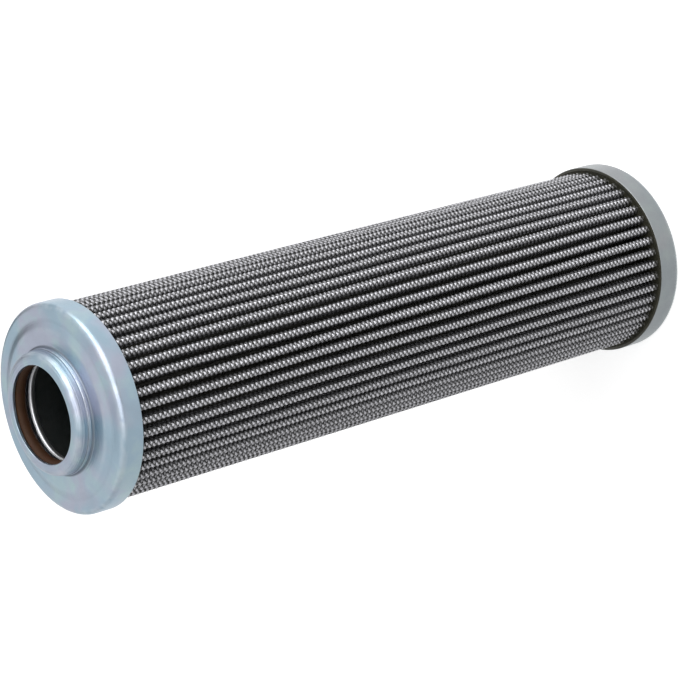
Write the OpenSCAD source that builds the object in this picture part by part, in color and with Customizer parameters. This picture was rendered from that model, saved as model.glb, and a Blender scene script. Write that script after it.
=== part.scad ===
// Pleated pressure filter element that slides over a spigot.
// The axis is Z. The closed end stands on Z = 0 and the open end faces up.

/* [Overall] */
// Height of the open cap's flat face above the closed end's seat
face_h = 169.4; // [80:0.1:260]
// Outer diameter of both end caps
cap_d = 47; // [46:0.1:52]

/* [End caps] */
// Thickness of the pressed sheet in both caps and the seal retainer
sheet_t = 0.8; // [0.6:0.05:0.9]
// Inside radius of the folds in the sheet
fold_r = 0.2; // [0.1:0.05:0.3]
// Height of the open cap's skirt, from its flat face
open_skirt_h = 5.3; // [4.2:0.1:9]
// Height of the closed cap's skirt, from its seat
closed_skirt_h = 6.2; // [4.2:0.1:10]
// Room between the support tube's bore and the foot of the closed cap's raised centre
centre_clear = 0.6; // [0.3:0.05:4]
// Rise of the closed cap's centre above its seat
centre_rise = 1.2; // [0.8:0.1:2]

/* [Neck] */
// Diameter of the bore that the spigot passes through
bore_d = 22; // [20:0.1:22.4]
// Height of the lip above the cap's flat face
neck_h = 4.6; // [4.4:0.1:7]
// Depth of the step in the neck wall
neck_step = 0.4; // [0.2:0.05:0.6]
// Height of that step above the cap's flat face
neck_step_h = 2.45; // [2.3:0.05:2.8]
// Width of the cap's flat rim, outside the raised plateau
rim_w = 4.1; // [3.7:0.05:5]
// Rise of the plateau above the flat face
plateau_rise = 0.8; // [0.5:0.05:0.9]
// Width of the slope round the plateau
plateau_slope = 1.0; // [0.9:0.05:1.4]
// Outside radius of the fillet between the neck and the plateau
neck_fillet_r = 0.9; // [0.5:0.05:1]

/* [Seal] */
// Thickness of the sealing ring's cord
seal_t = 3.0; // [2.4:0.05:3.1]
// How far the sealing ring reaches inside the bore
seal_grip = 0.2; // [0.1:0.02:0.3]
// Room round the sealing ring in its groove
seal_clear = 0.1; // [0.05:0.01:0.2]
// Gap between the bore and the retainer's collar, in radius
collar_clear = 0.15; // [0.05:0.01:0.3]
// Rise of the retainer's collar above its flange
collar_rise = 0.8; // [0.6:0.05:0.9]
// Width of the ring on which the retainer's flange bears under the flat face
flange_seat = 1.4; // [1:0.05:1.6]

/* [Support tube] */
// Outer diameter of the support tube
tube_d = 27.4; // [27:0.1:29]
// Wall of the support tube
tube_t = 0.8; // [0.5:0.05:1.2]
// Diameter of the holes in the tube
hole_d = 5; // [3:0.1:6]
// Holes in each row round the tube
holes_round = 8; // [5:1:10]
// Distance between rows of holes
row_pitch = 8; // [7:0.1:16]
// Plain length left at each end of the tube
plain_end = 11; // [8:0.1:20]

/* [Pleated pack] */
// Number of pleats
pleats = 48; // [40:1:49]
// Width of a pleat at its tip
pleat_w = 1.9; // [1.75:0.01:2]
// Gap between neighbouring pleats at their roots
root_gap = 0.05; // [0.02:0.01:0.08]
// Thickness of the outer wire cloth
outer_mesh_t = 0.26; // [0.15:0.01:0.28]
// Thickness of the fleece under the outer wire cloth
outer_fleece_t = 0.08; // [0.05:0.01:0.1]
// Thickness of the glass fibre filter layer
media_t = 0.24; // [0.15:0.01:0.26]
// Thickness of the fleece inside the filter layer
inner_fleece_t = 0.08; // [0.05:0.01:0.1]
// Thickness of the inner wire cloth
inner_mesh_t = 0.14; // [0.08:0.01:0.16]
// Gap between the support tube and the pleats' roots
tube_clear = 0.07; // [0.03:0.01:0.2]

/* [Potting] */
// Resin between the pleats' tips and the caps' skirts
tip_clear = 0.45; // [0.3:0.01:0.6]
// Resin under the ends of the pleats
bed_t = 0.3; // [0.2:0.05:0.6]
// How far the open cap's resin stops short of its skirt's rim
open_fill_gap = 0.5; // [0.1:0.05:1]
// How far the closed cap's resin stops short of its skirt's rim
closed_fill_gap = 0.2; // [0.1:0.05:1]
// Length of pleat side that the seam's glue covers
seam_glue_l = 3.2; // [2:0.1:4]

/* [Hidden] */
$fn = 96;

// Points round one fold of the sheet and round one pleat tip or root
fold_steps = 6;
pleat_steps = 4;
// How far a cutting shape runs past what it cuts
past = 1;

cap_r = cap_d / 2;
bore_r = bore_d / 2;
mid = sheet_t / 2;
fold_mid_r = fold_r + mid;

// Radii from the bore outwards: seal, neck, collar
seal_in_r = bore_r - seal_grip;
seal_mid_r = seal_in_r + seal_t / 2;
neck_in_r = seal_in_r + seal_t + seal_clear;
neck_mid_r = neck_in_r + mid;
collar_mid_r = bore_r + collar_clear + mid;
plateau_r = cap_r - rim_w;
slope_fold_r = 2 * fold_mid_r;
slope_fold_w = slope_fold_r * tan(atan(plateau_rise / plateau_slope) / 2);
flange_r = plateau_r + slope_fold_w + flange_seat;

// Heights of the sheet's underside and of what bears on it
face_under_h = face_h - sheet_t;
flange_under_h = face_under_h - sheet_t;
seal_mid_h = face_h + neck_h - sheet_t - seal_clear - seal_t / 2;

// Support tube between the closed cap's floor and the retainer's flange
tube_r = tube_d / 2;
tube_bottom_h = sheet_t;
tube_l = flange_under_h - tube_bottom_h;
hole_rows = 1 + floor((tube_l - 2 * plain_end) / row_pitch);
first_row_h = tube_bottom_h + (tube_l - (hole_rows - 1) * row_pitch) / 2;

// Depths of the pack's layer faces, from the outside of the pack inwards
depth_1 = outer_mesh_t;
depth_2 = depth_1 + outer_fleece_t;
depth_3 = depth_2 + media_t;
depth_4 = depth_3 + inner_fleece_t;
pack_t = depth_4 + inner_mesh_t;

// Pleats between the tube and the skirts
skirt_in_r = cap_r - sheet_t;
tip_r = skirt_in_r - tip_clear;
tip_centre_r = tip_r - pleat_w / 2;
root_centre_r = tube_r + tube_clear + root_gap / 2 + pack_t;
pleat_pitch = 360 / pleats;
pack_bottom_h = sheet_t + bed_t;
pack_top_h = flange_under_h - bed_t;

// Unit vector and its left-hand normal
function unit(v) = v / norm(v);
function left(v) = [-v[1], v[0]];
function spin(v, a) = [v[0] * cos(a) - v[1] * sin(a), v[0] * sin(a) + v[1] * cos(a)];
// Signed angle from one direction to the next
function turn(u, v) = atan2(u[0] * v[1] - u[1] * v[0], u * v);

// One side of a fold at corner p between a and b, at a distance to the left of the sheet's middle
function fold_side(a, p, b, r, offset) =
    let (u = unit(p - a), v = unit(b - p), angle = turn(u, v), side = sign(angle))
    let (arm = side * left(u), centre = p - u * r * tan(abs(angle) / 2) + arm * r)
    [for (i = [0:fold_steps]) centre - spin(arm, angle * i / fold_steps) * (r - side * offset)];

// One side of a folded sheet along a path of corners
function sheet_side(path, radii, offset) =
    let (last = len(path) - 1)
    let (start = path[0] + left(unit(path[1] - path[0])) * offset)
    let (end = path[last] + left(unit(path[last] - path[last - 1])) * offset)
    concat([start],
        [for (i = [1:last - 1]) each fold_side(path[i - 1], path[i], path[i + 1], radii[i], offset)],
        [end]);

function reversed(points) = [for (i = [len(points) - 1:-1:0]) points[i]];

// Outline of a sheet of even thickness that follows the path
function sheet_outline(path, radii, thickness) =
    concat(sheet_side(path, radii, thickness / 2), reversed(sheet_side(path, radii, -thickness / 2)));

// Outline of the whole pack at a depth below its outer face, pleat by pleat
function pack_outline(depth) = [for (k = [0:pleats - 1]) each concat(
    [for (i = [0:pleat_steps])
        spin([tip_centre_r, 0] + spin([pleat_w / 2 - depth, 0], -90 + 180 * i / pleat_steps),
            k * pleat_pitch)],
    [for (i = [0:pleat_steps])
        spin([root_centre_r, 0] + spin([root_gap / 2 + depth, 0], 270 - 180 * i / pleat_steps),
            (k + 0.5) * pleat_pitch)])];

// Points of a closed outline joined to a second outline inside it
module ring_between(outer, inner) {
    polygon(concat(outer, inner), paths = [[for (i = [0:len(outer) - 1]) i],
        [for (i = [0:len(inner) - 1]) len(outer) + i]]);
}

module pack_layer(depth_out, depth_in) {
    translate([0, 0, pack_bottom_h])
        linear_extrude(pack_top_h - pack_bottom_h)
            ring_between(pack_outline(depth_out), pack_outline(depth_in));
}

// Space that the pack takes up in the resin
module pack_room(low, high) {
    translate([0, 0, low])
        linear_extrude(high - low)
            polygon(pack_outline(0));
}

module revolved_sheet(path, radii) {
    rotate_extrude()
        polygon(sheet_outline(path, radii, sheet_t));
}

module open_end_cap() {
    lip_h = face_h + neck_h - mid;
    lower_neck_r = neck_mid_r + neck_step;
    path = [[bore_r, lip_h],
        [neck_mid_r, lip_h],
        [neck_mid_r, face_h + neck_step_h + neck_step / 2],
        [lower_neck_r, face_h + neck_step_h - neck_step / 2],
        [lower_neck_r, face_h + plateau_rise - mid],
        [plateau_r - plateau_slope, face_h + plateau_rise - mid],
        [plateau_r, face_h - mid],
        [cap_r - mid, face_h - mid],
        [cap_r - mid, face_h - open_skirt_h]];
    radii = [0, fold_mid_r, fold_mid_r, fold_mid_r, neck_fillet_r + mid,
        slope_fold_r, slope_fold_r, fold_mid_r, 0];
    color([0.65, 0.71, 0.76])
        revolved_sheet(path, radii);
}

module closed_end_cap() {
    centre_r = tube_r - tube_t - centre_clear;
    path = [[cap_r - mid, closed_skirt_h],
        [cap_r - mid, mid],
        [centre_r, mid],
        [centre_r - centre_rise, centre_rise + mid],
        [0, centre_rise + mid]];
    radii = [0, fold_mid_r, fold_mid_r, fold_mid_r, 0];
    color([0.6, 0.64, 0.67])
        revolved_sheet(path, radii);
}

module seal_ring() {
    color([0.28, 0.17, 0.14])
        translate([0, 0, seal_mid_h])
            rotate_extrude()
                translate([seal_mid_r, 0])
                    circle(d = seal_t);
}

// Flanged ring with a rounded collar rim, which backs the sealing ring
module seal_retainer() {
    flange_mid_h = face_under_h - mid;
    rim_h = face_under_h + collar_rise - mid;
    path = [[collar_mid_r, rim_h],
        [collar_mid_r, flange_mid_h],
        [flange_r, flange_mid_h]];
    radii = [0, fold_mid_r, 0];
    rim = [for (i = [1:fold_steps - 1])
        path[0] + spin([-mid, 0], -180 * i / fold_steps)];
    color([0.75, 0.77, 0.8])
        rotate_extrude()
            polygon(concat(sheet_outline(path, radii, sheet_t), rim));
}

// Cutters for one row of holes, each through one side of the tube
module hole_row(h, start_angle) {
    for (i = [0:holes_round - 1])
        rotate([0, 0, start_angle + i * 360 / holes_round])
            translate([tube_r - tube_t - past, 0, h])
                rotate([0, 90, 0])
                    cylinder(d = hole_d, h = tube_t + 2 * past);
}

module support_tube() {
    color([0.55, 0.57, 0.6])
        difference() {
            translate([0, 0, tube_bottom_h])
                cylinder(r = tube_r, h = tube_l);
            translate([0, 0, tube_bottom_h - past])
                cylinder(r = tube_r - tube_t, h = tube_l + 2 * past);
            for (row = [0:hole_rows - 1])
                hole_row(first_row_h + row * row_pitch, (row % 2) * 180 / holes_round);
        }
}

module outer_mesh() {
    color([0.6, 0.6, 0.62])
        pack_layer(0, depth_1);
}

module outer_fleece() {
    color([0.85, 0.85, 0.82])
        pack_layer(depth_1, depth_2);
}

module filter_media() {
    color([0.93, 0.92, 0.87])
        pack_layer(depth_2, depth_3);
}

module inner_fleece() {
    color([0.85, 0.85, 0.82])
        pack_layer(depth_3, depth_4);
}

module inner_mesh() {
    color([0.5, 0.5, 0.52])
        pack_layer(depth_4, pack_t);
}

// Resin round the pack's top, bearing on the cap's face and the retainer's flange
module upper_potting() {
    low = face_h - open_skirt_h + open_fill_gap;
    color([0.16, 0.15, 0.12])
        difference() {
            rotate_extrude()
                polygon([[tube_r, low],
                    [skirt_in_r, low],
                    [skirt_in_r, face_under_h - fold_r],
                    [skirt_in_r - fold_r, face_under_h],
                    [flange_r, face_under_h],
                    [flange_r, flange_under_h],
                    [tube_r, flange_under_h]]);
            pack_room(low - past, pack_top_h);
        }
}

// Resin round the pack's foot, standing on the closed cap's floor
module lower_potting() {
    high = closed_skirt_h - closed_fill_gap;
    color([0.14, 0.14, 0.11])
        difference() {
            rotate_extrude()
                polygon([[tube_r, sheet_t],
                    [skirt_in_r - fold_r, sheet_t],
                    [skirt_in_r, sheet_t + fold_r],
                    [skirt_in_r, high],
                    [tube_r, high]]);
            pack_room(pack_bottom_h, high + past);
        }
}

// Glue bead in the groove where the pack's two ends meet, between the last pleat and the first
module side_seam() {
    points = pack_outline(0);
    per_pleat = 2 * (pleat_steps + 1);
    from_tip = points[len(points) - per_pleat + pleat_steps];
    from_root = points[len(points) - per_pleat + pleat_steps + 1];
    to_root = points[len(points) - 1];
    to_tip = points[0];
    along = seam_glue_l / norm(from_tip - from_root);
    inset = bed_t / norm(from_tip - from_root);
    low = closed_skirt_h - closed_fill_gap;
    high = face_h - open_skirt_h + open_fill_gap;
    color([0.2, 0.19, 0.16])
        translate([0, 0, low])
            linear_extrude(high - low)
                polygon([from_root + (from_tip - from_root) * inset,
                    from_root + (from_tip - from_root) * (inset + along),
                    to_root + (to_tip - to_root) * (inset + along),
                    to_root + (to_tip - to_root) * inset]);
}

open_end_cap();
closed_end_cap();
seal_ring();
seal_retainer();
support_tube();
outer_mesh();
outer_fleece();
filter_media();
inner_fleece();
inner_mesh();
upper_potting();
lower_potting();
side_seam();
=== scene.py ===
import math
import bpy
from mathutils import Euler, Matrix, Vector, noise


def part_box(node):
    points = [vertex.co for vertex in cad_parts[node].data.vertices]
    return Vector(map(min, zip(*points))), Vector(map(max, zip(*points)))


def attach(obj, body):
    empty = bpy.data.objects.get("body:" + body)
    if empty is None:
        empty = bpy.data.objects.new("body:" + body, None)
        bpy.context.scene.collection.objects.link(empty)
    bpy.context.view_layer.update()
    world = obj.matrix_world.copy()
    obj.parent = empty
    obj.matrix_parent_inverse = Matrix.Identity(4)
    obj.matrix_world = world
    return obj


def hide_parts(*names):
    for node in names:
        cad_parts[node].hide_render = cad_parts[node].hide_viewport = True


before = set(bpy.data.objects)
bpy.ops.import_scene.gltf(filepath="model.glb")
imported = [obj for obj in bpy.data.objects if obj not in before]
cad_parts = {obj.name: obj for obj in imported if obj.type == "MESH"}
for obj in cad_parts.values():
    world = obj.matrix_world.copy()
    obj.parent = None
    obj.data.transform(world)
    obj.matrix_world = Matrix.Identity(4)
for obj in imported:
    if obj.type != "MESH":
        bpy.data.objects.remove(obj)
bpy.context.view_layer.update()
print("frame loaded")

mm = 0.001

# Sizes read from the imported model

openLow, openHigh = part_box("open_end_cap")
closedLow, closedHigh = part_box("closed_end_cap")
packLow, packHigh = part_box("outer_mesh")
capRadius = openHigh.x
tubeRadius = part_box("support_tube")[1].x
neckTop = openHigh.z
neckHeight = 4.6 * mm
faceHeight = neckTop - neckHeight
openSkirtEnd = openLow.z
closedSkirtEnd = closedHigh.z
sheet = 0.8 * mm
foldRadius = 0.2 * mm
pleats = 48


# Camera

camera = {
    "focalLength": 137.0,
    "sensorWidth": 36.0,
    "clip": (0.01, 20.0),
    "location": (0.0, -0.47789, 0.45869),
    "turn": (-19.599, 49.661, -114.796),  # degrees about X, Y and Z
    "roundObject": 0.4,  # degrees about the element's axis, which sets where the pleats show
}


def addObject(name, data):
    made = bpy.data.objects.new(name, data)
    bpy.context.scene.collection.objects.link(made)
    return made


def makeCamera():
    data = bpy.data.cameras.new("photoCamera")
    data.lens = camera["focalLength"]
    data.sensor_width = camera["sensorWidth"]
    data.clip_start, data.clip_end = camera["clip"]
    holder = addObject("photoCamera", data)
    swing = Matrix.Rotation(math.radians(camera["roundObject"]), 4, "Z")
    turn = Euler([math.radians(a) for a in camera["turn"]]).to_matrix().to_4x4()
    holder.matrix_world = swing @ Matrix.Translation(camera["location"]) @ turn
    bpy.context.scene.camera = holder
    print("camera placed")
    return holder


photoCamera = makeCamera()
cameraTurn = photoCamera.matrix_world.to_3x3()
packCentre = Vector((0, 0, neckTop / 2))


# Node helpers

def addNode(tree, kind, values=(), **settings):
    # values: what each input holds, or the output that it is linked to
    node = tree.nodes.new(kind)
    for key, value in settings.items():
        setattr(node, key, value)
    for key, value in dict(values).items():
        if isinstance(value, bpy.types.NodeSocket):
            tree.links.new(value, node.inputs[key])
        else:
            node.inputs[key].default_value = value
    return node


def addSockets(tree, inputs, outputs):
    # inputs, outputs: the kind of socket under each name
    for way, sockets in (("INPUT", inputs), ("OUTPUT", outputs)):
        for name, kind in sockets.items():
            tree.interface.new_socket(name, in_out=way, socket_type="NodeSocket" + kind)
    start = tree.nodes.new("NodeGroupInput")
    end = tree.nodes.new("NodeGroupOutput")
    return start.outputs, end.inputs


def useGroup(tree, group, values):
    kind = "GeometryNodeGroup" if tree.bl_idname == "GeometryNodeTree" else "ShaderNodeGroup"
    return addNode(tree, kind, values, node_tree=group).outputs[0]


def calc(tree, operation, a, b=0.0, c=0.0):
    return addNode(tree, "ShaderNodeMath", {0: a, 1: b, 2: c}, operation=operation).outputs[0]


def remap(tree, value, low, high, atLow=0.0, atHigh=1.0):
    # runs from atLow to atHigh as value goes from low to high, and stays there beyond
    return addNode(tree, "ShaderNodeMapRange", {
        "Value": value, "From Min": low, "From Max": high, "To Min": atLow, "To Max": atHigh}).outputs[0]


def noiseField(tree, place, scale, detail, distortion=0.0):
    return addNode(tree, "ShaderNodeTexNoise", {
        "Vector": place, "Scale": scale, "Detail": detail, "Distortion": distortion}).outputs[0]


def mixColour(tree, part, under, over, blend="MIX"):
    return addNode(tree, "ShaderNodeMix", {0: part, 6: under, 7: over},
                   data_type="RGBA", blend_type=blend).outputs[2]


def dim(tree, colour, level):
    grey = addNode(tree, "ShaderNodeCombineColor", {0: level, 1: level, 2: level}).outputs[0]
    return mixColour(tree, 1.0, colour, grey, "MULTIPLY")


def objectPlace(tree):
    return addNode(tree, "ShaderNodeTexCoord").outputs["Object"]


def carried(tree, name):
    # the value that the mesh carries in its attribute of this name
    return addNode(tree, "ShaderNodeAttribute", attribute_name=name).outputs["Fac"]


def splitVector(tree, vector):
    return addNode(tree, "ShaderNodeSeparateXYZ", {0: vector}).outputs


def joinVector(tree, x, y, z=0.0):
    return addNode(tree, "ShaderNodeCombineXYZ", {0: x, 1: y, 2: z}).outputs[0]


# Shared shader effects

noiseDetail = {"marks": 3.0, "grain": 4.0, "drift": 1.0}
patchField = {
    "broadDetail": 3.0, "broadWarp": 0.6, "finer": 2.3, "fineDetail": 4.0, "fineWarp": 0.3,
    "toneB": (0.4, 0.62), "toneC": (0.5, 0.7), "shade": (0.3, 0.7),
}


def makePatchGroup():
    # slow drift between three tones, as on passivated zinc, with a finer play of light and dark
    tree = bpy.data.node_groups.new("tonePatches", "ShaderNodeTree")
    given, end = addSockets(tree, {
        "Tone A": "Color", "Tone B": "Color", "Tone C": "Color", "Scale": "Float", "Shade": "Float",
    }, {"Color": "Color"})
    place = objectPlace(tree)
    fineScale = calc(tree, "MULTIPLY", given["Scale"], patchField["finer"])
    broad = noiseField(tree, place, given["Scale"], patchField["broadDetail"], patchField["broadWarp"])
    fine = noiseField(tree, place, fineScale, patchField["fineDetail"], patchField["fineWarp"])
    colour = mixColour(tree, remap(tree, broad, *patchField["toneB"]), given["Tone A"], given["Tone B"])
    colour = mixColour(tree, remap(tree, fine, *patchField["toneC"]), colour, given["Tone C"])
    darkest = calc(tree, "SUBTRACT", 1.0, given["Shade"])
    colour = dim(tree, colour, remap(tree, fine, *patchField["shade"], darkest, 1.0))
    tree.links.new(colour, end["Color"])
    return tree


def makeDrawMarksGroup():
    # fine rings round the axis and up the walls, left by the press tool
    tree = bpy.data.node_groups.new("drawMarks", "ShaderNodeTree")
    given, end = addSockets(tree, {"Spacing": "Float", "Run": "Float"}, {"Height": "Float"})
    x, y, z = splitVector(tree, objectPlace(tree))
    radius = addNode(tree, "ShaderNodeVectorMath", {0: joinVector(tree, x, y)}, operation="LENGTH")
    across = calc(tree, "DIVIDE", radius.outputs["Value"], given["Spacing"])
    upward = calc(tree, "DIVIDE", z, given["Spacing"])
    along = calc(tree, "MULTIPLY", calc(tree, "ARCTAN2", y, x), given["Run"])
    marks = noiseField(tree, joinVector(tree, across, upward, along), 1.0, noiseDetail["marks"])
    tree.links.new(marks, end["Height"])
    return tree


def makeGrainGroup():
    # small even grain
    tree = bpy.data.node_groups.new("surfaceGrain", "ShaderNodeTree")
    given, end = addSockets(tree, {"Scale": "Float"}, {"Height": "Float"})
    grain = noiseField(tree, objectPlace(tree), given["Scale"], noiseDetail["grain"])
    tree.links.new(grain, end["Height"])
    return tree


wear = {"scale": 420.0, "detail": 4.0, "broken": (0.4, 0.6), "creaseShadeCover": 0.8}


def makeFoldWearAndShadeGroup():
    # rubbed folds, and painted shade darkening the creases: follows the fold attribute that the turned pieces
    # carry
    tree = bpy.data.node_groups.new("foldWearAndShade", "ShaderNodeTree")
    given, end = addSockets(tree, {
        "Color": "Color", "Worn": "Color", "Crease Shade": "Color", "Amount": "Float",
    }, {"Color": "Color"})
    fold = carried(tree, "fold")
    breakUp = noiseField(tree, objectPlace(tree), wear["scale"], wear["detail"])
    rubbed = calc(tree, "MULTIPLY", calc(tree, "MAXIMUM", fold, 0.0), remap(tree, breakUp, *wear["broken"]))
    rubbed = calc(tree, "MULTIPLY", rubbed, given["Amount"])
    colour = mixColour(tree, rubbed, given["Color"], given["Worn"])
    # painted shade: the creases are darkened towards the shade tone
    crease = calc(tree, "MAXIMUM", calc(tree, "MULTIPLY", fold, -1.0), 0.0)
    crease = calc(tree, "MULTIPLY", crease, wear["creaseShadeCover"])
    tree.links.new(mixColour(tree, crease, colour, given["Crease Shade"]), end["Color"])
    return tree


tonePatches = makePatchGroup()
drawMarks = makeDrawMarksGroup()
surfaceGrain = makeGrainGroup()
foldWearAndShade = makeFoldWearAndShadeGroup()
print("shared effects built")


# Materials

grainSpread = (0.3, 0.7)  # where most values of a noise lie


def startMaterial(name):
    material = bpy.data.materials.new(name)
    material.use_nodes = True
    material.node_tree.nodes.clear()
    return material, material.node_tree


def addShader(tree, values):
    shader = addNode(tree, "ShaderNodeBsdfPrincipled", values)
    addNode(tree, "ShaderNodeOutputMaterial", {"Surface": shader.outputs[0]})


def addPatches(tree, tones, scale, shade):
    a, b, c = ((*tone, 1) for tone in tones)
    return useGroup(tree, tonePatches, {
        "Tone A": a, "Tone B": b, "Tone C": c, "Scale": scale, "Shade": shade})


def addBump(tree, height, distance, strength=1.0, under=None):
    # under: the broader bumps that these ones lie on
    values = {"Height": height, "Distance": distance, "Strength": strength}
    if under is not None:
        values["Normal"] = under
    return addNode(tree, "ShaderNodeBump", values).outputs[0]


# the dark tone listed here is the painted shade in the concave folds; the rest sets rubbing, grain and press
# marks
zincSurface = {
    "shade": 0.12, "creaseShade": (0.1, 0.12, 0.15, 1), "rubbed": 0.4,
    "grain": 3000.0, "grainBump": 0.008 * mm, "grainStrength": 0.2,
    "markSpacing": 0.35 * mm, "markRun": 1.5, "markBump": 0.05 * mm, "markStrength": 0.7,
    "dragFrom": 0.8 * mm, "dragTo": 1.4 * mm,  # above the face of the open cap
}
zincTones = {
    "openCap": {"tones": ((0.345, 0.46, 0.55), (0.41, 0.445, 0.54), (0.37, 0.485, 0.52)),
                "worn": (0.8, 0.81, 0.83, 1), "rough": (0.3, 0.42), "scale": 75.0,
                "marks": 1.0, "drag": 5.0},
    "closedCap": {"tones": ((0.3, 0.33, 0.345), (0.325, 0.34, 0.355), (0.31, 0.345, 0.345)),
                  "worn": (0.45, 0.47, 0.44, 1), "rough": (0.3, 0.46), "scale": 75.0,
                  "marks": 1.0, "drag": 1.0},
    "retainer": {"tones": ((0.72, 0.73, 0.76), (0.76, 0.76, 0.78), (0.68, 0.71, 0.73)),
                 "worn": (0.8, 0.81, 0.83, 1), "rough": (0.36, 0.46), "scale": 120.0,
                 "marks": 0.15, "drag": 0.15},
    # the dark tones here are painted shade for the inside of the bore, on the tube and the inner cloth
    "tube": {"tones": ((0.14, 0.16, 0.16), (0.18, 0.19, 0.19), (0.12, 0.14, 0.14)),
             "worn": (0.4, 0.4, 0.4, 1), "rough": (0.35, 0.55), "scale": 90.0,
             "marks": 1.0, "drag": 1.0},
}


def makeZinc(name):
    finish = zincTones[name]
    material, tree = startMaterial(name + "Zinc")
    colour = useGroup(tree, foldWearAndShade, {
        "Color": addPatches(tree, finish["tones"], finish["scale"], zincSurface["shade"]),
        "Worn": finish["worn"], "Crease Shade": zincSurface["creaseShade"], "Amount": zincSurface["rubbed"]})
    grain = useGroup(tree, surfaceGrain, {"Scale": zincSurface["grain"]})
    marks = useGroup(tree, drawMarks, {
        "Spacing": zincSurface["markSpacing"], "Run": zincSurface["markRun"]})
    # the marks are deeper on the neck, which the punch has dragged
    deep = remap(tree, splitVector(tree, objectPlace(tree))[2], faceHeight + zincSurface["dragFrom"],
                 faceHeight + zincSurface["dragTo"], finish["marks"], finish["drag"])
    under = addBump(tree, calc(tree, "MULTIPLY", marks, deep),
                    zincSurface["markBump"], zincSurface["markStrength"])
    addShader(tree, {
        "Metallic": 1.0, "Base Color": colour,
        "Roughness": remap(tree, grain, *grainSpread, *finish["rough"]),
        "Normal": addBump(tree, grain, zincSurface["grainBump"], zincSurface["grainStrength"], under)})
    return material


# the dark tone listed here is the painted shade where a wire dips under a crossing wire
wireSurface = {
    "scale": 300.0, "shade": 0.25, "crossingShadeTone": (0.1, 0.1, 0.095, 1), "crossingShadeCover": 0.9,
    "grain": 5000.0, "bump": 0.006 * mm, "bumpStrength": 0.5,
}
wireTones = {
    "crossWire": {"tones": ((0.84, 0.84, 0.88), (0.79, 0.79, 0.83), (0.68, 0.68, 0.72)),
                  "crossingShadeRange": (-0.6, 0.5), "rough": (0.5, 0.6)},
    # the axial wires are the same steel as the cross wires; their darker tones are painted shade for wires
    # lying under the crossing wires
    "axialWire": {"tones": ((0.32, 0.32, 0.33), (0.38, 0.38, 0.39), (0.24, 0.24, 0.25)),
                  "crossingShadeRange": (-0.5, 0.9), "rough": (0.34, 0.46)},
}
# painted shade on the wires down the sides of the pleats: full colour at the tip, down to keeps deep in the
# groove
grooveShade = {"from": 0.2 * mm, "to": 1.1 * mm, "keeps": 0.26}
resinSoak = {
    "tone": (0.03, 0.03, 0.022, 1), "cover": 0.85, "from": 7.6 * mm, "to": 8.4 * mm,
    "wander": 2.0 * mm, "wanderScale": 180.0, "wanderDetail": 2.0,
}


def makeWire(name):
    finish = wireTones[name]
    material, tree = startMaterial(name)
    place = objectPlace(tree)
    colour = addPatches(tree, finish["tones"], wireSurface["scale"], wireSurface["shade"])
    # painted shade where a wire dips under a crossing wire
    crossing = remap(tree, carried(tree, "lift"), *finish["crossingShadeRange"], wireSurface["crossingShadeCover"], 0.0)
    colour = mixColour(tree, crossing, colour, wireSurface["crossingShadeTone"])
    # painted shade: the wires are darkened down the sides of the pleats, towards the grooves
    keeps = remap(tree, carried(tree, "fromTip"), grooveShade["from"], grooveShade["to"],
                  1.0, grooveShade["keeps"])
    colour = dim(tree, colour, keeps)
    # resin has wicked a little way up the cloth from the closed end
    wander = noiseField(tree, place, resinSoak["wanderScale"], resinSoak["wanderDetail"])
    edge = calc(tree, "MULTIPLY_ADD", wander, resinSoak["wander"], splitVector(tree, place)[2])
    soaked = remap(tree, edge, resinSoak["from"], resinSoak["to"], resinSoak["cover"], 0.0)
    grain = useGroup(tree, surfaceGrain, {"Scale": wireSurface["grain"]})
    addShader(tree, {
        "Metallic": calc(tree, "SUBTRACT", 1.0, soaked),
        "Base Color": mixColour(tree, soaked, colour, resinSoak["tone"]),
        "Roughness": remap(tree, grain, *grainSpread, *finish["rough"]),
        "Normal": addBump(tree, grain, wireSurface["bump"], wireSurface["bumpStrength"])})
    return material


coats = {  # what isn't metal; the fleece under the wires is the dark layer that shows between them, its near-black tone partly its own and partly painted shade for the deep grooves
    "shadedUnderFleece": {"tones": ((0.085, 0.085, 0.076), (0.105, 0.103, 0.09), (0.066, 0.067, 0.064)),
                    "scale": 400.0, "shade": 0.3, "grain": 4000.0, "rough": (0.5, 0.8),
                    "bump": 0.05 * mm, "gloss": 0.5},
    "glassMedia": {"tones": ((0.75, 0.73, 0.66), (0.6, 0.584, 0.528), (0.75, 0.73, 0.66)),
                   "scale": 500.0, "shade": 0.2, "grain": 6000.0, "rough": (0.75, 0.95),
                   "bump": 0.03 * mm, "gloss": 0.5},
    "innerFleeceFibre": {"tones": ((0.7, 0.7, 0.67), (0.56, 0.56, 0.536), (0.7, 0.7, 0.67)),
                         "scale": 500.0, "shade": 0.2, "grain": 6000.0, "rough": (0.75, 0.95),
                         "bump": 0.03 * mm, "gloss": 0.5},
    "pottingResin": {"tones": ((0.052, 0.05, 0.036), (0.058, 0.056, 0.038), (0.03, 0.031, 0.023)),
                     "scale": 260.0, "shade": 0.3, "grain": 1500.0, "rough": (0.3, 0.55),
                     "bump": 0.05 * mm, "gloss": 0.5},
    "sealRubber": {"tones": ((0.052, 0.023, 0.011), (0.07, 0.032, 0.014), (0.055, 0.021, 0.012)),
                   "scale": 200.0, "shade": 0.2, "grain": 3500.0, "rough": (0.42, 0.6),
                   "bump": 0.012 * mm, "gloss": 0.15},
}


def makeCoat(name):
    coat = coats[name]
    material, tree = startMaterial(name)
    grain = useGroup(tree, surfaceGrain, {"Scale": coat["grain"]})
    addShader(tree, {
        "Metallic": 0.0, "Specular IOR Level": coat["gloss"],
        "Base Color": addPatches(tree, coat["tones"], coat["scale"], coat["shade"]),
        "Roughness": remap(tree, grain, *grainSpread, *coat["rough"]),
        "Normal": addBump(tree, grain, coat["bump"])})
    return material


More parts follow.
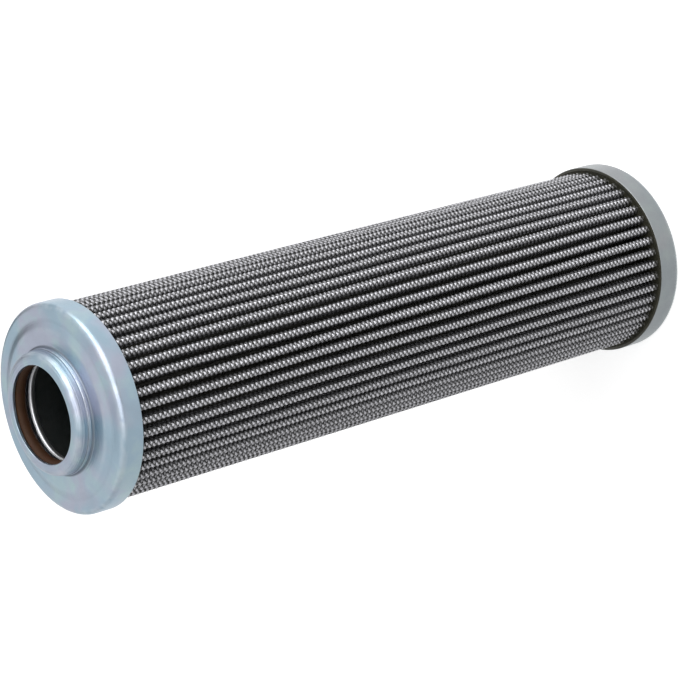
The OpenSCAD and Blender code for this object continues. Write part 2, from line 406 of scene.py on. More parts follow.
openCapZinc = makeZinc("openCap")
closedCapZinc = makeZinc("closedCap")
retainerZinc = makeZinc("retainer")
shadedTubeZinc = makeZinc("tube")
crossWire = makeWire("crossWire")
axialWire = makeWire("axialWire")
shadedUnderFleece = makeCoat("shadedUnderFleece")
glassMedia = makeCoat("glassMedia")
innerFleeceFibre = makeCoat("innerFleeceFibre")
pottingResin = makeCoat("pottingResin")
sealRubber = makeCoat("sealRubber")
print("materials built")


# Mesh helpers

def newPiece(name, vertices, faces, material, smooth=True):
    mesh = bpy.data.meshes.new(name)
    mesh.from_pydata(vertices, [], faces)
    mesh.materials.append(material)
    mesh.polygons.foreach_set("use_smooth", [smooth] * len(mesh.polygons))
    mesh.update()
    return addObject(name, mesh)


def setAttribute(piece, name, values):
    attribute = piece.data.attributes.new(name, "FLOAT", "POINT")
    attribute.data.foreach_set("value", values)


def finishPiece(piece, node):
    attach(piece, "root")
    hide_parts(node)
    print("piece", piece.name, len(piece.data.polygons), "faces")


# Turned and pressed pieces: a profile in radius and height is swept round the axis

turning = {
    "segments": 160, "foldSteps": 8, "rubbedRadius": 0.5 * mm, "creaseRadius": 1.6 * mm,
    "creasePower": 4, "rimRound": 0.16 * mm, "rimSteps": 4, "rimWear": 0.2,
    "supportGap": 0.14 * mm, "shortestFlat": 3, "shortestHalved": 20,  # flats in support gaps
    "unevenRound": 1.7, "unevenUp": 60.0, "tiltRound": 1.3, "tiltShare": 0.5,
}
onAxisRadius = 1e-9


def turned(x, y, degrees):
    a = math.radians(degrees)
    return x * math.cos(a) - y * math.sin(a), x * math.sin(a) + y * math.cos(a)


def leftOf(v):
    return Vector((-v.y, v.x))


def foldSide(before, corner, after, radius, offset):
    # points with their fold weight: up to 1 where the fold stands out, down to -1 in a crease
    arrive, leave = (corner - before).normalized(), (after - corner).normalized()
    angle = math.degrees(math.atan2(arrive.x * leave.y - arrive.y * leave.x, arrive.dot(leave)))
    side = math.copysign(1, angle)
    arm = leftOf(arrive) * side
    centre = corner - arrive * radius * math.tan(math.radians(abs(angle)) / 2) + arm * radius
    steps = turning["foldSteps"]
    rubbed = min(1.0, turning["rubbedRadius"] / radius)
    # rubbed weights the wear on convex folds, crease weights the painted shade in concave ones
    crease = min(1.0, (turning["creaseRadius"] / radius) ** turning["creasePower"])
    made = []
    for i in range(steps + 1):
        point = centre - Vector(turned(arm.x, arm.y, angle * i / steps)) * (radius - side * offset)
        outward = rubbed if side * offset < 0 else -crease
        made.append((point, outward * math.sin(math.pi * i / steps)))
    return made


def sheetSide(path, radii, offset):
    made = [(path[0] + leftOf((path[1] - path[0]).normalized()) * offset, 0.0)]
    for i in range(1, len(path) - 1):
        made += foldSide(path[i - 1], path[i], path[i + 1], radii[i], offset)
    made.append((path[-1] + leftOf((path[-1] - path[-2]).normalized()) * offset, 0.0))
    return made


def roundedEnd(near, far, onward, radius, full=False):
    # rounds the cut end of a sheet between its two sides, onward points out of the end
    half = (far - near) / 2
    r = half.length if full else radius
    across = half.normalized()
    steps = turning["rimSteps"]
    nearSide, farSide = [], []
    for i in range(steps + 1):
        a = math.radians(90 * i / steps)
        inward, outward = r - r * math.cos(a), r * math.sin(a) - r
        nearSide.append((near + across * inward + onward * outward, turning["rimWear"]))
        farSide.append((far - across * inward + onward * outward, turning["rimWear"]))
    return nearSide + farSide[::-1]


def sheetProfile(path, radii, thickness, fullStart=False):
    # the outline of a bent sheet, and whether it reaches the axis
    path = [Vector(p) for p in path]
    outer = sheetSide(path, radii, thickness / 2)
    inner = sheetSide(path, radii, -thickness / 2)
    startOut = (path[0] - path[1]).normalized()
    endOut = (path[-1] - path[-2]).normalized()
    rim = turning["rimRound"]
    endTurn = roundedEnd(outer[-1][0], inner[-1][0], endOut, rim)
    if path[0].x < onAxisRadius:
        return outer[:-1] + endTurn + inner[:-1][::-1], True
    startTurn = roundedEnd(inner[0][0], outer[0][0], startOut, rim, fullStart)
    return outer[1:-1] + endTurn + inner[1:-1][::-1] + startTurn, False


def addSupport(profile, closed):
    # extra points beside each fold keep the flats flat when shaded
    gap = turning["supportGap"]
    made = []
    count = len(profile)
    for i, (point, weight) in enumerate(profile):
        made.append((point, weight))
        if i == count - 1 and not closed:
            break
        onward = profile[(i + 1) % count][0]
        length = (onward - point).length
        if length > turning["shortestFlat"] * gap:
            step = (onward - point) / length * gap
            made.append((point + step, 0.0))
            if length > turning["shortestHalved"] * gap:
                made.append(((point + onward) / 2, 0.0))
            made.append((onward - step, 0.0))
    return made


def sweepRound(name, profile, onAxis, material, wobble=0.0, seed=0.0):
    # wobble: how far pressed metal strays from a true circle and a true height
    segments = turning["segments"]
    around, tilt = turning["unevenRound"], turning["tiltRound"]
    vertices, weights, faces, rings = [], [], [], []
    for point, weight in addSupport(profile, not onAxis):
        if onAxis and point.x < onAxisRadius:
            rings.append([len(vertices)])
            vertices.append((0, 0, point.y))
            weights.append(weight)
            continue
        ring = []
        for s in range(segments):
            a = 2 * math.pi * s / segments
            x, y = math.cos(a), math.sin(a)
            uneven = noise.noise(Vector((x * around, y * around, seed + point.y * turning["unevenUp"])))
            r = point.x + wobble * uneven
            z = point.y + wobble * turning["tiltShare"] * noise.noise(Vector((x * tilt, seed, y * tilt)))
            ring.append(len(vertices))
            vertices.append((r * x, r * y, max(z, 0.0)))
            weights.append(weight)
        rings.append(ring)
    onwards = rings[1:] if onAxis else rings[1:] + rings[:1]
    for one, two in zip(rings, onwards):
        for s in range(segments):
            n = (s + 1) % segments
            if len(one) == 1:
                faces.append((one[0], two[n], two[s]))
            elif len(two) == 1:
                faces.append((one[s], one[n], two[0]))
            else:
                faces.append((one[s], one[n], two[n], two[s]))
    piece = newPiece(name, vertices, faces, material)
    setAttribute(piece, "fold", weights)
    return piece


openCap = {
    "boreRadius": 11.0 * mm, "neckInside": 13.1 * mm, "neckStep": 0.16 * mm, "stepHeight": 1.8 * mm,
    "lean": 0.2 * mm, "lipFold": 1.2 * mm, "stepFold": 0.8 * mm, "neckFillet": 0.55 * mm,
    "plateauRadius": 19.8 * mm, "plateauRise": 0.8 * mm, "plateauSlope": 1.9 * mm,
    "slopeFold": 3.0 * mm, "rimFold": 1.0 * mm, "wobble": 0.05 * mm, "seed": 3.0,
}


def makeOpenCap():
    mid = sheet / 2
    wall = openCap["neckInside"] + mid
    lowWall = wall + openCap["neckStep"]
    face = faceHeight - mid
    raised = face + openCap["plateauRise"]
    step = faceHeight + openCap["stepHeight"]
    halfStep = openCap["neckStep"] / 2
    plateau = openCap["plateauRadius"]
    lip = wall - openCap["lean"]
    path = [(openCap["boreRadius"], neckTop - mid), (lip, neckTop - mid), (wall, step + halfStep),
            (lowWall, step - halfStep), (lowWall, raised), (plateau - openCap["plateauSlope"], raised),
            (plateau, face), (capRadius - mid, face), (capRadius - mid, openSkirtEnd)]
    radii = [0, openCap["lipFold"], openCap["stepFold"], openCap["stepFold"], openCap["neckFillet"] + mid,
             openCap["slopeFold"], openCap["slopeFold"], openCap["rimFold"], 0]
    profile, onAxis = sheetProfile(path, radii, sheet)
    return sweepRound("openEndCap", profile, onAxis, openCapZinc, openCap["wobble"], openCap["seed"])


closedCap = {"centreRadius": 12.3 * mm, "centreRise": 1.2 * mm, "wobble": 0.05 * mm, "seed": 9.0}


def makeClosedCap():
    mid = sheet / 2
    fold = foldRadius + mid
    rise = closedCap["centreRise"]
    path = [(0, rise + mid), (closedCap["centreRadius"] - rise, rise + mid),
            (closedCap["centreRadius"], mid), (capRadius - mid, mid), (capRadius - mid, closedSkirtEnd)]
    profile, onAxis = sheetProfile(path, [0, fold, fold, fold, 0], sheet)
    return sweepRound("closedEndCap", profile, onAxis, closedCapZinc,
                      closedCap["wobble"], closedCap["seed"])


retainer = {
    "collarInside": 11.1 * mm, "collarRise": 0.8 * mm, "thick": 1.0 * mm,
    "wobble": 0.03 * mm, "seed": 5.0,
}


def makeRetainer():
    # the collar's rim is fully rounded, and shows bright behind the seal
    mid = retainer["thick"] / 2
    collar = retainer["collarInside"] + mid
    flangeHeight = faceHeight - sheet - mid
    rim = faceHeight - sheet + retainer["collarRise"]
    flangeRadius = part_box("seal_retainer")[1].x
    path = [(collar, rim), (collar, flangeHeight), (flangeRadius, flangeHeight)]
    profile, onAxis = sheetProfile(path, [0, foldRadius + mid, 0], retainer["thick"], True)
    return sweepRound("sealRetainer", profile, onAxis, retainerZinc,
                      retainer["wobble"], retainer["seed"])


sealRing = {
    "steps": 20, "inside": 10.5 * mm, "halfHeight": 1.45 * mm, "wallGap": 0.1 * mm, "lipGap": 0.02 * mm,
    "flash": 0.05 * mm, "flashWidth": 0.16, "wobble": 0.04 * mm, "seed": 1.0,
}


def makeSealRing():
    # squeezed between the neck's wall and the lip, so it bulges a little into the bore
    outside = openCap["neckInside"] - sealRing["wallGap"]
    half = sealRing["halfHeight"]
    thick = (outside - sealRing["inside"]) / 2
    centre = Vector((outside - thick, neckTop - sheet - sealRing["lipGap"] - half))
    profile = []
    for i in range(sealRing["steps"]):
        a = 2 * math.pi * (i + 0.5) / sealRing["steps"]
        # moulding flash stands out at the top and the bottom of the section
        ridge = sealRing["flash"] if abs(math.cos(a)) < sealRing["flashWidth"] else 0.0
        out = Vector((math.cos(a) * (thick + ridge), -math.sin(a) * half))
        profile.append((centre + out, 0.0))
    return sweepRound("sealRing", profile, False, sealRubber, sealRing["wobble"], sealRing["seed"])


potting = {
    "rings": 9, "skirtGap": 0.01 * mm, "meniscus": 0.22 * mm,
    "roughness": 0.14 * mm, "roughScale": 500.0, "roughBand": 0.5 * mm, "smoothEdge": 0.2 * mm,
    "rimLeft": 0.06 * mm, "film": 0.04 * mm, "filmTaper": 0.05 * mm, "rimDrop": 0.1 * mm,
    "belowRim": 0.3 * mm, "aboveRim": 0.5 * mm, "lowerSeed": 2.0, "upperSeed": 7.0,
}


def makePotting(name, flatHeight, surfaceHeight, seed, rim=None):
    # the surface that shows is uneven and climbs a little at the skirt, and a film of it lies on the rim
    inner, outer = tubeRadius, capRadius - sheet - potting["skirtGap"]
    outline = [(inner, flatHeight), (outer, flatHeight)]
    up = math.copysign(1, surfaceHeight - flatHeight)
    if rim is not None:
        tip = capRadius - potting["rimLeft"]
        taper, top = tip - potting["filmTaper"], rim + potting["film"]
        outline += [(outer, rim - potting["rimDrop"]), (outer + turning["rimRound"], rim), (taper, rim),
                    (tip, rim + potting["film"] / 2), (taper, top), (outer, top)]
    for i in range(potting["rings"]):
        part = i / (potting["rings"] - 1)
        climb = potting["meniscus"] if i == 0 else 0.0
        outline.append((outer + (inner - outer) * part, surfaceHeight + up * climb))
    profile = [(Vector(point), 0.0) for point in outline]
    if up < 0:
        profile.reverse()
    piece = sweepRound(name, profile, False, pottingResin, 0.0, seed)
    for vertex in piece.data.vertices:
        radius = math.hypot(vertex.co.x, vertex.co.y)
        onSurface = abs(vertex.co.z - surfaceHeight) < potting["roughBand"]
        if onSurface and radius < outer - potting["smoothEdge"]:
            rough = noise.noise(Vector(vertex.co) * potting["roughScale"] + Vector((0, 0, seed)))
            vertex.co.z += potting["roughness"] * rough
    return piece


finishPiece(makeOpenCap(), "open_end_cap")
finishPiece(makeClosedCap(), "closed_end_cap")
finishPiece(makeRetainer(), "seal_retainer")
finishPiece(makeSealRing(), "seal_ring")
lowerSurface = closedSkirtEnd - potting["belowRim"]
upperSurface = openSkirtEnd + potting["aboveRim"]
finishPiece(makePotting("lowerPotting", closedLow.z + sheet, lowerSurface,
                        potting["lowerSeed"], closedSkirtEnd), "lower_potting")
finishPiece(makePotting("upperPotting", faceHeight - 2 * sheet, upperSurface,
                        potting["upperSeed"]), "upper_potting")
print("caps, seal and resin made")


# Pleated pack: everything in it follows one drift, so its layers stay nested

driftValues = {  # twist, bunch and wave are in degrees
    "Pleats": float(pleats), "Twist": 4.9, "Bunch": 3.0, "Wave": 1.1, "Wave Length": 55 * mm,
    "Circle": 2.0, "Seed": 4.0, "Low": packLow.z, "High": packHigh.z,
}
driftSockets = {name: "Float" for name in driftValues}
pleatWidth = 1.9 * mm
rootGap = 0.05 * mm
layerDepth = 0.8 * mm
tubeClear = 0.07 * mm
tipCentre = packHigh.x - pleatWidth / 2
rootCentre = tubeRadius + tubeClear + rootGap / 2 + layerDepth
pleatTurn = 360 / pleats


def pleatAngle(tree, sockets):
    return calc(tree, "DIVIDE", calc(tree, "MULTIPLY", sockets["Pleat"], math.tau), sockets["Pleats"])


def turnAboutAxis(tree, vector, angle):
    return addNode(tree, "ShaderNodeVectorRotate", {"Vector": vector, "Angle": angle},
                   rotation_type="Z_AXIS").outputs[0]


def makeDriftGroup():
    # turns a point about the axis: slow twist of the pack, wider pleats on one side, wavy pleats
    tree = bpy.data.node_groups.new("pleatDrift", "GeometryNodeTree")
    given, end = addSockets(tree, {"Position": "Vector", "Pleat": "Float", **driftSockets},
                            {"Position": "Vector"})
    height = splitVector(tree, given["Position"])[2]
    fromTop = calc(tree, "DIVIDE", calc(tree, "SUBTRACT", given["High"], height),
                   calc(tree, "SUBTRACT", given["High"], given["Low"]))
    twist = calc(tree, "MULTIPLY", calc(tree, "SUBTRACT", fromTop, 0.5), given["Twist"])
    angle = pleatAngle(tree, given)
    cosine, sine = calc(tree, "COSINE", angle), calc(tree, "SINE", angle)
    twist = calc(tree, "MULTIPLY_ADD", cosine, given["Bunch"], twist)
    along = calc(tree, "ADD", calc(tree, "DIVIDE", height, given["Wave Length"]), given["Seed"])
    vector = joinVector(tree, calc(tree, "MULTIPLY", cosine, given["Circle"]),
                        calc(tree, "MULTIPLY", sine, given["Circle"]), along)
    wander = calc(tree, "SUBTRACT", noiseField(tree, vector, 1.0, noiseDetail["drift"]), 0.5)
    wave = calc(tree, "MULTIPLY", wander, calc(tree, "MULTIPLY", given["Wave"], 2.0))
    turn = calc(tree, "RADIANS", calc(tree, "ADD", twist, wave))
    tree.links.new(turnAboutAxis(tree, given["Position"], turn), end["Position"])
    return tree


def makeFoldGroup():
    # lays flat cloth over a pleat's tip: along runs round the tip, lift stands off the cloth
    tree = bpy.data.node_groups.new("foldOntoPleat", "GeometryNodeTree")
    names = ("Along", "Lift", "Height", "Pleat", "Pleats", "Tip Centre", "Half Width")
    given, end = addSockets(tree, {name: "Float" for name in names}, {"Position": "Vector"})
    side = calc(tree, "SIGN", given["Along"])
    far = calc(tree, "ABSOLUTE", given["Along"])
    tipLength = calc(tree, "MULTIPLY", given["Half Width"], math.pi / 2)
    onTip = calc(tree, "MINIMUM", far, tipLength)
    onLeg = calc(tree, "SUBTRACT", far, onTip)
    angle = calc(tree, "MULTIPLY", calc(tree, "DIVIDE", onTip, given["Half Width"]), side)
    reach = calc(tree, "ADD", given["Half Width"], given["Lift"])
    outward = calc(tree, "MULTIPLY", calc(tree, "COSINE", angle), reach)
    x = calc(tree, "SUBTRACT", calc(tree, "ADD", given["Tip Centre"], outward), onLeg)
    y = calc(tree, "MULTIPLY", calc(tree, "SINE", angle), reach)
    placed = turnAboutAxis(tree, joinVector(tree, x, y, given["Height"]), pleatAngle(tree, given))
    tree.links.new(placed, end["Position"])
    return tree


def finishTree(tree, geometry, material, end):
    whole = addNode(tree, "GeometryNodeRealizeInstances", {"Geometry": geometry})
    dressed = addNode(tree, "GeometryNodeSetMaterial", {"Geometry": whole.outputs[0], "Material": material})
    tree.links.new(dressed.outputs[0], end[0])


def nameValue(tree, geometry, name, value):
    return addNode(tree, "GeometryNodeStoreNamedAttribute", {
        "Geometry": geometry, "Name": name, "Value": value}, data_type="FLOAT").outputs[0]


def namedValue(tree, name):
    return addNode(tree, "GeometryNodeInputNamedAttribute", {"Name": name}, data_type="FLOAT").outputs[0]


pleatDrift = makeDriftGroup()
foldOntoPleat = makeFoldGroup()
cloth = {
    "hoopPitch": 0.62 * mm, "runPitch": 0.9 * mm, "runsPerPleat": 6, "halfWidth": 0.78 * mm,
    "lowEnd": 4.6 * mm, "highGap": 1.2 * mm,
    "shift": 0.45, "shiftSeed": 11,  # how far the runs of a pleat stray, in pitches
}
wireKinds = {
    "crossWires": {"width": 0.6 * mm, "depth": 0.3 * mm, "lift": 0.08 * mm, "swell": 0.45,
                   "pleatsInPiece": 12, "rowsPerPoint": 1, "alongAxis": False, "material": crossWire},
    "axialWires": {"width": 0.3 * mm, "depth": 0.3 * mm, "lift": 0.0, "swell": 0.0,
                   "pleatsInPiece": 48, "rowsPerPoint": 6, "alongAxis": True, "material": axialWire},
}


def makeWireTree(name, alongAxis):
    # alongAxis: wires that run the length of the pack; otherwise the wires that cross each pleat
    tree = bpy.data.node_groups.new(name, "GeometryNodeTree")
    tree.is_modifier = True
    counts = ("Rows", "Runs", "First Pleat", "Pleats Made")
    lengths = ("Row Pitch", "Run Pitch", "Wire Width", "Wire Depth", "Wire Lift", "Swell",
               "Start Height", "Tip Centre", "Half Width")
    given, end = addSockets(tree, {
        "Geometry": "Geometry", "Material": "Material", **{count: "Int" for count in counts},
        **{length: "Float" for length in lengths}, **driftSockets,
    }, {"Geometry": "Geometry"})
    perWire = given["Rows"] if alongAxis else given["Runs"]
    wires = calc(tree, "MULTIPLY", given["Pleats Made"], given["Runs"] if alongAxis else given["Rows"])
    points = addNode(tree, "GeometryNodePoints", {"Count": calc(tree, "MULTIPLY", perWire, wires)})
    index = addNode(tree, "GeometryNodeInputIndex").outputs[0]
    onWire = calc(tree, "FLOORED_MODULO", index, perWire)
    wire = calc(tree, "FLOOR", calc(tree, "DIVIDE", index, perWire))
    inner = given["Runs"] if alongAxis else given["Pleats Made"]
    near = calc(tree, "FLOORED_MODULO", wire, inner)
    far = calc(tree, "FLOOR", calc(tree, "DIVIDE", wire, inner))
    row, run, pleatMade = (onWire, near, far) if alongAxis else (far, onWire, near)
    pleat = calc(tree, "ADD", pleatMade, given["First Pleat"])
    shift = addNode(tree, "FunctionNodeRandomValue", {
        2: -cloth["shift"], 3: cloth["shift"], "ID": pleat, "Seed": cloth["shiftSeed"]},
        data_type="FLOAT").outputs[1]
    middle = calc(tree, "DIVIDE", calc(tree, "SUBTRACT", given["Runs"], 1.0), 2.0)
    centred = calc(tree, "ADD", calc(tree, "SUBTRACT", run, middle), shift)
    alongCloth = calc(tree, "MULTIPLY", centred, given["Run Pitch"])
    height = calc(tree, "MULTIPLY_ADD", row, given["Row Pitch"], given["Start Height"])
    odd = calc(tree, "FLOORED_MODULO", calc(tree, "ADD", calc(tree, "ADD", row, run), pleat), 2.0)
    sign = calc(tree, "SUBTRACT", calc(tree, "MULTIPLY", odd, 2.0), 1.0)
    folded = useGroup(tree, foldOntoPleat, {
        "Along": alongCloth, "Lift": calc(tree, "MULTIPLY", sign, given["Wire Lift"]), "Height": height,
        "Pleat": pleat, "Pleats": given["Pleats"], "Tip Centre": given["Tip Centre"],
        "Half Width": given["Half Width"]})
    moved = useGroup(tree, pleatDrift, {
        "Position": folded, "Pleat": pleat, **{value: given[value] for value in driftValues}})
    placed = addNode(tree, "GeometryNodeSetPosition", {"Geometry": points.outputs[0], "Position": moved})
    marked = nameValue(tree, placed.outputs[0], "lift", sign)
    marked = nameValue(tree, marked, "fromTip", calc(tree, "ABSOLUTE", alongCloth))
    lines = addNode(tree, "GeometryNodePointsToCurves",
                    {"Points": marked, "Curve Group ID": wire, "Weight": onWire})
    # a wire is pressed wide where it comes up over a crossing
    width = calc(tree, "MULTIPLY_ADD", namedValue(tree, "lift"), given["Swell"], 1.0)
    half = calc(tree, "MULTIPLY", given["Wire Width"], 0.5)
    section = addNode(tree, "GeometryNodeCurvePrimitiveQuadrilateral",
                      {"Width": given["Wire Depth"], "Bottom Height": half, "Top Height": half}, mode="KITE")
    if not alongAxis:
        lines = addNode(tree, "GeometryNodeSetCurveNormal", {"Curve": lines.outputs[0]}, mode="Z_UP")
    tubes = addNode(tree, "GeometryNodeCurveToMesh", {
        "Curve": lines.outputs[0], "Scale": width, "Profile Curve": section.outputs[0],
        "Fill Caps": True})
    smooth = addNode(tree, "GeometryNodeSetShadeSmooth", {"Geometry": tubes.outputs[0]})
    finishTree(tree, smooth.outputs[0], given["Material"], end)
    return tree


def runTree(name, tree, values, mesh=None):
    holder = addObject(name + "Holder", mesh or bpy.data.meshes.new(name + "Start"))
    modifier = holder.modifiers.new("build", "NODES")
    modifier.node_group = tree
    for item in tree.interface.items_tree:
        if item.item_type == "SOCKET" and item.in_out == "INPUT" and item.name in values:
            modifier[item.identifier] = values[item.name]
    graph = bpy.context.evaluated_depsgraph_get()
    made = bpy.data.meshes.new_from_object(holder.evaluated_get(graph))
    made.name = name
    bpy.data.objects.remove(holder)
    return addObject(name, made)


def makeCloth():
    underCap = faceHeight - 3 * sheet  # under the cap's face, the retainer and the resin between
    low, high = cloth["lowEnd"], underCap - cloth["highGap"]
    for name, wires in wireKinds.items():
        tree = makeWireTree(name, wires["alongAxis"])
        rowPitch = cloth["hoopPitch"] * wires["rowsPerPoint"]
        values = {
            "Runs": cloth["runsPerPleat"], "Run Pitch": cloth["runPitch"], "Start Height": low,
            "Tip Centre": tipCentre, "Half Width": cloth["halfWidth"],
            "Wire Width": wires["width"], "Wire Depth": wires["depth"], "Wire Lift": wires["lift"],
            "Swell": wires["swell"], "Rows": int((high - low) / rowPitch) + 1, "Row Pitch": rowPitch,
            "Pleats Made": wires["pleatsInPiece"], "Material": wires["material"], **driftValues}
        for part in range(pleats // wires["pleatsInPiece"]):
            values["First Pleat"] = part * wires["pleatsInPiece"]
            finishPiece(runTree(f"{name}{part + 1}", tree, values), "outer_mesh")


layerRows = 10
layers = {  # depth: where a layer starts and ends under the face of the cloth
    "shadedUnderFleece": {"depth": (0.46 * mm, 0.55 * mm), "steps": 4, "node": "outer_fleece", "slot": "fleece",
                    "material": shadedUnderFleece},
    "glassMedia": {"depth": (0.55 * mm, 0.74 * mm), "steps": 3, "node": "filter_media", "slot": "media",
                   "material": glassMedia},
    "innerFleece": {"depth": (0.74 * mm, 0.8 * mm), "steps": 3, "node": "inner_fleece", "slot": "fleece",
                    "material": innerFleeceFibre},
    "innerCloth": {"depth": (0.8 * mm, 0.88 * mm), "steps": 3, "node": "inner_mesh", "slot": "inner_cloth",
                   "material": shadedTubeZinc},
}


def packOutline(depth, steps):
    # half circles round the tips and the roots of all pleats, as (x, y, pleat)
    made = []
    for k in range(pleats):
        for i in range(steps + 1):
            a = math.radians(-90 + 180 * i / steps)
            r = pleatWidth / 2 - depth
            x, y = turned(tipCentre + r * math.cos(a), r * math.sin(a), k * pleatTurn)
            made.append((x, y, k))
        for i in range(steps + 1):
            a = math.radians(270 - 180 * i / steps)
            r = rootGap / 2 + depth
            x, y = turned(rootCentre + r * math.cos(a), r * math.sin(a), (k + 0.5) * pleatTurn)
            made.append((x, y, k + i / steps))
    return made


def makeSettleTree():
    # gives a straight pleated mesh the drift of the pack
    tree = bpy.data.node_groups.new("settlePack", "GeometryNodeTree")
    tree.is_modifier = True
    given, end = addSockets(tree, {"Geometry": "Geometry", "Material": "Material", **driftSockets},
                            {"Geometry": "Geometry"})
    place = addNode(tree, "GeometryNodeInputPosition").outputs[0]
    moved = useGroup(tree, pleatDrift, {
        "Position": place, "Pleat": namedValue(tree, "pleat"), **{name: given[name] for name in driftValues}})
    placed = addNode(tree, "GeometryNodeSetPosition", {"Geometry": given["Geometry"], "Position": moved})
    finishTree(tree, placed.outputs[0], given["Material"], end)
    return tree


settlePack = makeSettleTree()


def settle(name, loops, material, low, high, smooth):
    # loops: closed outlines of (x, y, pleat); the first is the outer wall, a second is the inner wall
    vertices, pleatOf, faces, starts = [], [], [], []
    for loop in loops:
        starts.append(len(vertices))
        for row in range(layerRows + 1):
            z = low + (high - low) * row / layerRows
            for x, y, pleat in loop:
                vertices.append((x, y, z))
                pleatOf.append(pleat)
    n = len(loops[0])
    for wall, first in enumerate(starts):
        for row in range(layerRows):
            for i in range(n):
                a = first + row * n + i
                b = first + row * n + (i + 1) % n
                quad = (a, b, b + n, a + n)
                faces.append(quad if wall == 0 else quad[::-1])
    for row, flip in ((0, False), (layerRows, True)):
        corners = [starts[0] + row * n + i for i in range(n)]
        if len(loops) == 2:
            innerCorners = [starts[1] + row * n + i for i in range(n)]
            for i in range(n):
                t = (i + 1) % n
                end = (corners[i], corners[t], innerCorners[t], innerCorners[i])
                faces.append(end if flip else end[::-1])
        else:
            faces.append(corners if flip else corners[::-1])
    straight = newPiece(name + "Straight", vertices, faces, material, smooth)
    setAttribute(straight, "pleat", pleatOf)
    mesh = straight.data
    bpy.data.objects.remove(straight)
    return runTree(name, settlePack, {"Material": material, **driftValues}, mesh)


def makeLayers():
    for name, layer in layers.items():
        loops = [packOutline(depth, layer["steps"]) for depth in layer["depth"]]
        piece = settle(name, loops, layer["material"], packLow.z, packHigh.z, True)
        finishPiece(piece, layer["node"])


seam = {"inner": 14.95 * mm, "outer": 18.1 * mm, "overlap": 0.27 * mm}


def makeSeam():
    # glue bead between the last pleat and the first, at the bottom of their groove
    low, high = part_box("side_seam")
    betweenPleats = -0.5  # half a pleat before the first
    loop = []
    for radius, side in ((seam["inner"], 1), (seam["inner"], -1), (seam["outer"], -1), (seam["outer"], 1)):
        half = radius * math.radians(pleatTurn / 2) - pleatWidth / 2 + seam["overlap"]
        x, y = turned(radius, side * half, betweenPleats * pleatTurn)
        loop.append((x, y, betweenPleats))
    piece = settle("seamGlue", [loop], pottingResin, low.z, high.z, False)
    finishPiece(piece, "side_seam")


makeCloth()
makeLayers()
makeSeam()
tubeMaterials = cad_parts["support_tube"].data.materials
tubeMaterials.clear()
tubeMaterials.append(shadedTubeZinc)
print("pleated pack made")


# Studio

black = (0, 0, 0, 1)
white = (1, 1, 1, 1)
studio = {
    "floorGap": 0.05 * mm, "floorSize": 6.0, "floorTones": ((0.8, 0.8, 0.8, 1), (0.82, 0.82, 0.82, 1)),
    "floorGrain": 40.0, "floorRough": 0.9, "floorGlow": 0.6, "fill": 0.35, "background": 1.0,
}
lamps = {  # direction from the object in camera axes: right, up, towards the camera
    "topSoft": {"from": (-0.25, 1.0, 0.6), "distance": 1.1, "size": 1.3, "power": 8.0},
    "frontSoft": {"from": (-0.2, 0.2, 1.0), "distance": 1.15, "size": 1.6, "power": 8.0},
}
flagFoot = 2.0 * mm
sideFlags = {  # grey boards round the stage that only reflections see, as x, y from one end to the other
    "lowBand": {"radius": 1.4, "height": 0.5, "level": 0.8},
    "lowerBoard": {"ends": ((-1.0, -1.0), (-1.0, 1.0)), "height": 1.3, "level": 0.8},
    "backBoard": {"ends": ((0.71, 1.12), (0.2, 1.33)), "height": 0.66, "level": 0.2},
}
floorFlag = {  # pale board on the floor that only reflections see, brightest at an angle in degrees
    "inner": 24.0 * mm, "outer": 1.5, "height": 0.3 * mm, "level": 1.05, "swing": 0.2,
    "brightest": 25.0, "segments": 96,
}
cameraSideFlag = {
    "from": (0.38, 0.2, 1.0), "distance": 0.5, "radius": 0.1, "level": 0.05, "segments": 32,
}


def seenItself(tree):
    # 1 for rays that look at the thing itself, straight, mirrored or through glass; 0 for its light
    ray = addNode(tree, "ShaderNodeLightPath").outputs
    seen = calc(tree, "MAXIMUM", ray["Is Camera Ray"], ray["Is Glossy Ray"])
    return calc(tree, "MAXIMUM", seen, ray["Is Transmission Ray"])


def makeFloor():
    half, low = studio["floorSize"] / 2, -studio["floorGap"]
    material, tree = startMaterial("paleFloor")
    grain = useGroup(tree, surfaceGrain, {"Scale": studio["floorGrain"]})
    addShader(tree, {
        "Roughness": studio["floorRough"], "Base Color": mixColour(tree, grain, *studio["floorTones"]),
        "Emission Color": white,
        "Emission Strength": calc(tree, "MULTIPLY", seenItself(tree), studio["floorGlow"])})
    corners = [(-half, -half, low), (half, -half, low), (half, half, low), (-half, half, low)]
    newPiece("paleFloor", corners, [(0, 1, 2, 3)], material, False)


def addFlag(name, points, faces, material):
    flag = newPiece(name, points, faces, material, False)
    flag.visible_camera = False
    flag.visible_diffuse = False
    flag.visible_shadow = False
    flag.visible_transmission = False


def paintFlag(tree, level):
    addShader(tree, {"Roughness": 1.0, "Base Color": black, "Specular IOR Level": 0.0,
                     "Emission Color": white, "Emission Strength": level})


def ringPoints(radius, count, height):
    made = []
    for s in range(count):
        a = math.tau * s / count
        made.append((radius * math.cos(a), radius * math.sin(a), height))
    return made


def bandFaces(count, closed):
    # faces between two rows of points, the first row's numbers before the second's
    made = []
    for s in range(count if closed else count - 1):
        t = (s + 1) % count
        made.append((s, count + s, count + t, t))
    return made


def makeSideFlags():
    for name, flag in sideFlags.items():
        closed = "radius" in flag
        rows = []
        for height in (flagFoot, flag["height"]):
            if closed:
                rows.append(ringPoints(flag["radius"], floorFlag["segments"], height))
            else:
                rows.append([(x, y, height) for x, y in flag["ends"]])
        material, tree = startMaterial(name)
        paintFlag(tree, flag["level"])
        addFlag(name, rows[0] + rows[1], bandFaces(len(rows[0]), closed), material)


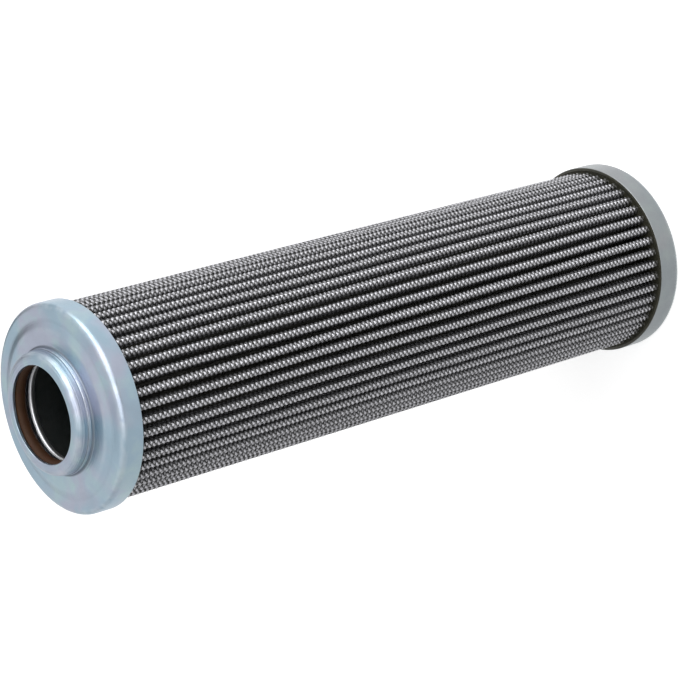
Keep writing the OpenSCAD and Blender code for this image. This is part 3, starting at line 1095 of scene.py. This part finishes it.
def makeFloorFlag():
    count, height = floorFlag["segments"], floorFlag["height"]
    points = ringPoints(floorFlag["inner"], count, height) + ringPoints(floorFlag["outer"], count, height)
    material, tree = startMaterial("floorFlag")
    parts = splitVector(tree, objectPlace(tree))
    angle = calc(tree, "ARCTAN2", parts[1], parts[0])
    fromBrightest = calc(tree, "SUBTRACT", angle, math.radians(floorFlag["brightest"]))
    paintFlag(tree, calc(tree, "MULTIPLY_ADD", calc(tree, "COSINE", fromBrightest),
                         floorFlag["swing"], floorFlag["level"]))
    addFlag("floorFlag", points, bandFaces(count, True), material)


def makeCameraSideFlag():
    # the dark place between the lamps, which shows in the folds that face the camera
    direction = (cameraTurn @ Vector(cameraSideFlag["from"])).normalized()
    turn = direction.to_track_quat("Z", "Y").to_matrix()
    centre = packCentre + direction * cameraSideFlag["distance"]
    count = cameraSideFlag["segments"]
    points = [centre + turn @ Vector(point) for point in ringPoints(cameraSideFlag["radius"], count, 0)]
    material, tree = startMaterial("cameraSideFlag")
    paintFlag(tree, cameraSideFlag["level"])
    addFlag("cameraSideFlag", points, [tuple(range(count))], material)


def makeWorld():
    world = bpy.data.worlds.new("softStudio")
    bpy.context.scene.world = world
    world.use_nodes = True
    tree = world.node_tree
    tree.nodes.clear()
    strength = remap(tree, seenItself(tree), 0.0, 1.0, studio["fill"], studio["background"])
    light = addNode(tree, "ShaderNodeBackground", {"Color": white, "Strength": strength})
    addNode(tree, "ShaderNodeOutputWorld", {"Surface": light.outputs[0]})


def makeLamps():
    for name, lamp in lamps.items():
        data = bpy.data.lights.new(name, "AREA")
        data.shape = "DISK"
        data.size = lamp["size"]
        data.energy = lamp["power"]
        holder = addObject(name, data)
        holder.visible_camera = False
        direction = (cameraTurn @ Vector(lamp["from"])).normalized()
        holder.location = packCentre + direction * lamp["distance"]
        holder.rotation_euler = (-direction).to_track_quat("-Z", "Y").to_euler()


makeFloor()
makeFloorFlag()
makeSideFlags()
makeCameraSideFlag()
makeWorld()
makeLamps()
bpy.context.scene.view_settings.view_transform = "Standard"
print("studio lit")
